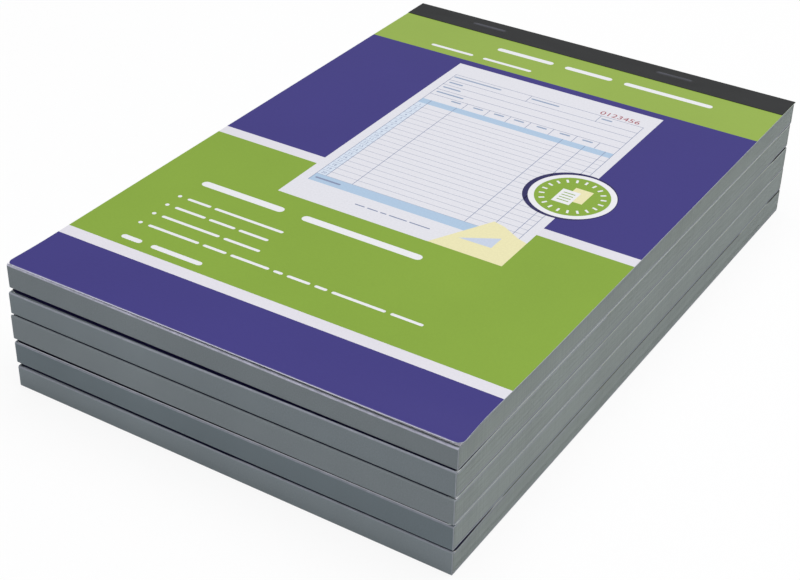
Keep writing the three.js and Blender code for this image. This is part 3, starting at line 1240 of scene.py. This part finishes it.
def draw_form(page, digits, layer=1):
    for d in RULE_LINES:
        page.line_across(FORM_LEFT, FORM_RIGHT, d, RULE_WIDTH, "rule", layer + 1)
    for x in (FORM_LEFT, FORM_RIGHT):
        page.line_down(x, RULE_LINES[0], FORM_FOOT, RULE_WIDTH, "rule", layer + 1)
    for x in FIELD_TICKS:
        page.line_down(x, RULE_LINES[0], RULE_LINES[1], RULE_WIDTH, "rule", layer + 1)
    for x0, x1, d in FORM_LABELS:
        page.bar(x0 + LABEL_SET_IN, x1, d, LABEL_HEIGHT, "label", layer + 1)
    page.number(digits, NUMBER_MIDDLE, NUMBER_FOOT, NUMBER_HEIGHT, "number red", layer + 1,
                width=NUMBER_WIDTH)
    for x in CELL_TICKS:
        page.line_down(x, RULE_LINES[-1], CELLS_FOOT, RULE_WIDTH, "rule", layer + 1)
        x0, x1 = (x - back for back in CELL_LABEL)
        page.bar(x0, x1, RULE_LINES[-1] + CELL_LABEL_DOWN, LABEL_HEIGHT, "label", layer + 1)
    page.box(FORM_LEFT, CELLS_FOOT, FORM_RIGHT, TABLE_TOP, "band", layer)
    page.box(FORM_LEFT, TABLE_FOOT, FORM_RIGHT, FORM_FOOT, "band", layer)
    page.box(FORM_LEFT, TABLE_TOP, COLUMN_LINES[0], TABLE_FOOT, "tint", layer)
    for row in range(1, TABLE_ROWS + 1):
        d = TABLE_TOP + row * ROW_HEIGHT
        page.line_across(FORM_LEFT, FORM_RIGHT, d, FINE_RULE_WIDTH, "fine rule", layer + 1)
        middle = (FORM_LEFT + COLUMN_LINES[0]) / 2
        base = d - (ROW_HEIGHT - ROW_DIGIT_HEIGHT) / 2
        page.number(str(row), middle, base, ROW_DIGIT_HEIGHT, "rule", layer + 1)
    for x in COLUMN_LINES:
        page.line_down(x, CELLS_FOOT, TABLE_FOOT, RULE_WIDTH, "rule", layer + 2)
    x0, x1 = (FORM_LEFT + x for x in TOTAL_LABEL)
    page.bar(x0, x1, FORM_FOOT - TOTAL_LABEL_UP, LABEL_HEIGHT, "rule", layer + 1)
    for x0, x1 in NOTE_BARS:
        page.bar(x0, x1, NOTE_DOWN, NOTE_HEIGHT, "rule", layer + 1)


# %% [markdown]
# ## Print on the cover
# Over the bands the cover carries a picture of the form with a canary corner turned up, a round badge, and
# lines of white bars where a title, a list and a footer would be. The badge shows two sheets in a ring
# of ticks.

# %% Picture of the form
PICTURE_CORNER = (37.1, 36.4)
PICTURE_SCALE = 0.5295
PICTURE_WIDTH = 75.0
PICTURE_HEIGHT = 105.0
TURNED_CORNER = ((88.4, 141.4), (98.6, 121.6), (102.6, 122.6), (108.6, 126), (112.1, 127.1), (112.1, 141.4))
TURNED_PICTURE = ((94.6, 134.9), (105, 128.7), (105, 134.7))


def draw_picture(page):
    page.box(PICTURE_CORNER[0], PICTURE_CORNER[1],
             PICTURE_CORNER[0] + PICTURE_WIDTH, PICTURE_CORNER[1] + PICTURE_HEIGHT, "form white", 1)
    page.scale = PICTURE_SCALE
    page.corner = PICTURE_CORNER
    draw_form(page, "0123456", layer=2)
    page.scale = 1.0
    page.corner = (0.0, 0.0)
    page.slab(TURNED_CORNER, "canary", 5)
    page.slab(TURNED_PICTURE, "curl blue", 6)


# %% Badge
BADGE = (110.5, 96.3)
BADGE_RADIUS = 11.3
BADGE_WHITE = 13.1
BADGE_RIM = 14.1
BADGE_RIM_SHIFT = 0.75
BADGE_TICKS = 20
TICK_FROM = 8.3
TICK_TO = 10.0
TICK_HALF_WIDTH = 0.35
SHEET_NEAR = 1.4
SHEET_FAR = 4.4
SHEET_LOW = 2.8
SHEET_HIGH = 5.2
SHEET_LINES = (-1.0, 0.5, 2.0, 3.5)
SHEET_MARGIN = 1.0
SHEET_LINE_WIDTH = 0.4


def draw_badge(page):
    x, d = BADGE
    page.slab(circle(x - BADGE_RIM_SHIFT, d, BADGE_RIM), "badge blue", 4)
    page.slab(circle(x, d, BADGE_WHITE), "print white", 5)
    page.slab(circle(x, d, BADGE_RADIUS), "badge green", 6)
    for tick in range(BADGE_TICKS):
        angle = 2 * math.pi * tick / BADGE_TICKS
        out = Vector((math.cos(angle), math.sin(angle)))
        aside = Vector((-out.y, out.x)) * TICK_HALF_WIDTH
        near, far = out * TICK_FROM, out * TICK_TO
        corners = (near - aside, far - aside, far + aside, near + aside)
        page.slab([(x + corner.x, d + corner.y) for corner in corners], "print white", 7)
    page.box(x - SHEET_NEAR, d - SHEET_HIGH, x + SHEET_FAR, d + SHEET_LOW, "canary", 7)
    page.box(x - SHEET_FAR, d - SHEET_LOW, x + SHEET_NEAR, d + SHEET_HIGH, "print white", 8)
    x0, x1 = x - SHEET_FAR + SHEET_MARGIN, x + SHEET_NEAR - SHEET_MARGIN
    for down in SHEET_LINES:
        page.line_across(x0, x1, d + down, SHEET_LINE_WIDTH, "badge green", 9)


# %% Bars for words, each line with its place down, its height and its words
HEADER_LINES = (
    (19.2, 2.2, ((42, 63.5), (68, 85.5), (90, 121.5))),
    (28.6, 1.4, ((21, 37.5), (41.5, 60))),
)
TITLE_LINE = (150.1, 2.8, ((16.2, 45.5), (52, 92)))
LIST_LINES = (
    (160.1, 1.1, ((18.6, 27), (28.4, 52.5))),
    (165.9, 1.1, ((18.6, 29.5), (30.9, 40), (41.4, 51.5))),
    (171.8, 1.1, ((18.6, 39), (40.6, 53))),
    (177.8, 1.1, ((18.6, 36.5), (38, 46), (47.5, 60.5), (62, 65),
                  (66.5, 74), (75.5, 79.5), (81, 98), (99.5, 109.5))),
)
FOOTER_LINE = (186.1, 1.9, ((16, 23), (26.5, 44)))
LIST_DOT_PLACE = 15.7
LIST_DOT_RADIUS = 0.65


def draw_words(page, line):
    d, height, words = line
    for x0, x1 in words:
        page.bar(x0, x1, d, height, "print white")


# %% Print every cover
def cover_print(book):
    lift = corner_curl if book is top_book else None
    page = Print(book, "cover_print", cover_top, book_length, lift=lift)
    for line in HEADER_LINES + (TITLE_LINE,):
        draw_words(page, line)
    for line in LIST_LINES:
        page.slab(circle(LIST_DOT_PLACE, line[0], LIST_DOT_RADIUS, points=16), "print white")
        draw_words(page, line)
    draw_words(page, FOOTER_LINE)
    draw_picture(page)
    draw_badge(page)
    return page.finish("printed_cover")


for book in books:
    piece = cover_print(book)
    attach(piece, "open_cover" if book is top_book else book.body)
print("cover print made, faces each:", len(piece.data.polygons))

# %% [markdown]
# ## Print on the sheets
# The first set and the white sheet under the flap carry the form at full size. Both copies of a set have
# the same number, and the next set has the next one. A dashed line marks the perforation.

# %% Sheet print
SHEET_HEAD = hinge_place - 2.0
PERFORATION_DOWN = 1.2
FIRST_DASH = 1.0
DASH = 1.1
DASH_GAP = 0.9
DASH_WIDTH = 0.16


def sheet_print(words, surface, digits, lift=None, more_bends=()):
    bends = sorted(FOOT_ROWS + list(more_bends), reverse=True)
    page = Print(top_book, words, surface, SHEET_HEAD, lift=lift, bends=bends)
    draw_form(page, digits)
    x = FIRST_DASH
    while x + DASH < book_width:
        page.line_across(x, x + DASH, PERFORATION_DOWN, DASH_WIDTH, "perforation")
        x += DASH + DASH_GAP
    return page


white_print = sheet_print("white_copy_print", white_high.z, "0123456").finish("white_paper")
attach(white_print, "open_white_sheet")
canary_print = sheet_print("canary_copy_print", canary_high.z, "0123456").finish("canary_paper")
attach(canary_print, "open_canary_sheet")


def pad_step(x, y):
    """How far the pad's first sheet is pressed down by the flap."""
    return pad_top(y) - free_top


slope = spread(PRESS_START, PRESS_END, PRESS_STEP)
pad_page = sheet_print("pad_print", free_top, "0123457", lift=pad_step, more_bends=slope)
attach(pad_page.finish("page_edges"), top_book.body)
print("sheet print made")

# %% [markdown]
# ## Floor, light and camera
# The ground is a plain pale floor. For what the camera sees directly it is part light, so it shows almost
# white and still keeps the stack's soft shadow. The object is lit by a pale sky and one wide lamp overhead.

# %% Floor
FLOOR_SIZE = 40.0
FLOOR_GLOW = 0.88
FLOOR_COLOUR = (0.86, 0.86, 0.87, 1.0)


def floor_finish():
    finish = Finish("floor", 0.9)
    tone = finish.noise(400.0)
    finish.colour(FLOOR_COLOUR, [finish.around_one(tone, 0.01)])
    output = finish.tree.nodes["Material Output"]
    glow = finish.add("ShaderNodeEmission")
    glow.inputs["Strength"].default_value = 1.0
    path = finish.add("ShaderNodeLightPath")
    seen = finish.math("MAXIMUM", path.outputs["Is Camera Ray"], path.outputs["Is Glossy Ray"])
    seen = finish.math("MAXIMUM", seen, path.outputs["Is Transmission Ray"])
    share = finish.math("MULTIPLY", seen, FLOOR_GLOW)
    mix = finish.add("ShaderNodeMixShader")
    finish.feed(share, mix.inputs["Fac"])
    finish.feed(finish.shader.outputs["BSDF"], mix.inputs[1])
    finish.feed(glow.outputs["Emission"], mix.inputs[2])
    finish.feed(mix.outputs["Shader"], output.inputs["Surface"])
    return finish.material


floor_mesh = bpy.data.meshes.new("floor")
half = FLOOR_SIZE / 2
floor_corners = [(-half, -half, 0), (half, -half, 0), (half, half, 0), (-half, half, 0)]
floor_mesh.from_pydata(floor_corners, [], [(0, 1, 2, 3)])
floor_mesh.materials.append(floor_finish())
floor = bpy.data.objects.new("floor", floor_mesh)
bpy.context.scene.collection.objects.link(floor)

# %% Sky
SKY_LIGHT = 0.32

world = bpy.data.worlds.new("studio")
world.use_nodes = True
sky = world.node_tree.nodes["Background"]
sky.inputs["Color"].default_value = (1.0, 1.0, 1.0, 1.0)
sky_path = world.node_tree.nodes.new("ShaderNodeLightPath")
sky_level = world.node_tree.nodes.new("ShaderNodeMapRange")
sky_level.inputs["To Min"].default_value = SKY_LIGHT
sky_level.inputs["To Max"].default_value = 1.0
world.node_tree.links.new(sky_path.outputs["Is Camera Ray"], sky_level.inputs["Value"])
world.node_tree.links.new(sky_level.outputs["Result"], sky.inputs["Strength"])
bpy.context.scene.world = world

# %% Lamp
LAMP_SIZE = 1.3
LAMP_POWER = 17.5
LAMP_PLACE = Vector((0.15, 0.1, 1.25))

lamp_data = bpy.data.lights.new("overhead", "AREA")
lamp_data.shape = "SQUARE"
lamp_data.size = LAMP_SIZE
lamp_data.energy = LAMP_POWER
lamp = bpy.data.objects.new("overhead", lamp_data)
lamp.location = LAMP_PLACE
lamp.rotation_euler = (-LAMP_PLACE).to_track_quat("-Z", "Y").to_euler()
bpy.context.scene.collection.objects.link(lamp)

# %% [markdown]
# The camera stands to the front and right of the stack and looks down on it, a little turned. Its place was
# found from the corners of the books, whose real size is known.

# %% Camera
IMAGE_WIDTH = 800
SENSOR_WIDTH = 36.0
FOCAL_PIXELS = 1638.2
CAMERA_AZIMUTH = math.radians(31.703)
CAMERA_ELEVATION = math.radians(32.991)
CAMERA_ROLL = math.radians(1.149)
CAMERA_DISTANCE = 498.59
CAMERA_ASIDE = (-10.071, -17.024)
LOOK_HEIGHT = 20.0

back = Vector((
    math.sin(CAMERA_AZIMUTH) * math.cos(CAMERA_ELEVATION),
    -math.cos(CAMERA_AZIMUTH) * math.cos(CAMERA_ELEVATION),
    math.sin(CAMERA_ELEVATION),
))
right = Vector((math.cos(CAMERA_AZIMUTH), math.sin(CAMERA_AZIMUTH), 0.0))
up = back.cross(right)
place = Vector((0, 0, LOOK_HEIGHT)) + back * CAMERA_DISTANCE + right * CAMERA_ASIDE[0] + up * CAMERA_ASIDE[1]
rolled_right = right * math.cos(CAMERA_ROLL) + up * math.sin(CAMERA_ROLL)
rolled_up = up * math.cos(CAMERA_ROLL) - right * math.sin(CAMERA_ROLL)
turn = Matrix((rolled_right, rolled_up, back)).transposed().to_4x4()

camera_data = bpy.data.cameras.new("camera")
camera_data.sensor_width = SENSOR_WIDTH
camera_data.lens = FOCAL_PIXELS * SENSOR_WIDTH / IMAGE_WIDTH
camera = bpy.data.objects.new("camera", camera_data)
camera.matrix_world = Matrix.Translation(place * MM) @ turn
bpy.context.scene.collection.objects.link(camera)
bpy.context.scene.camera = camera
bpy.context.scene.view_settings.view_transform = "Standard"
print(f"camera lens {camera_data.lens:.1f} mm")
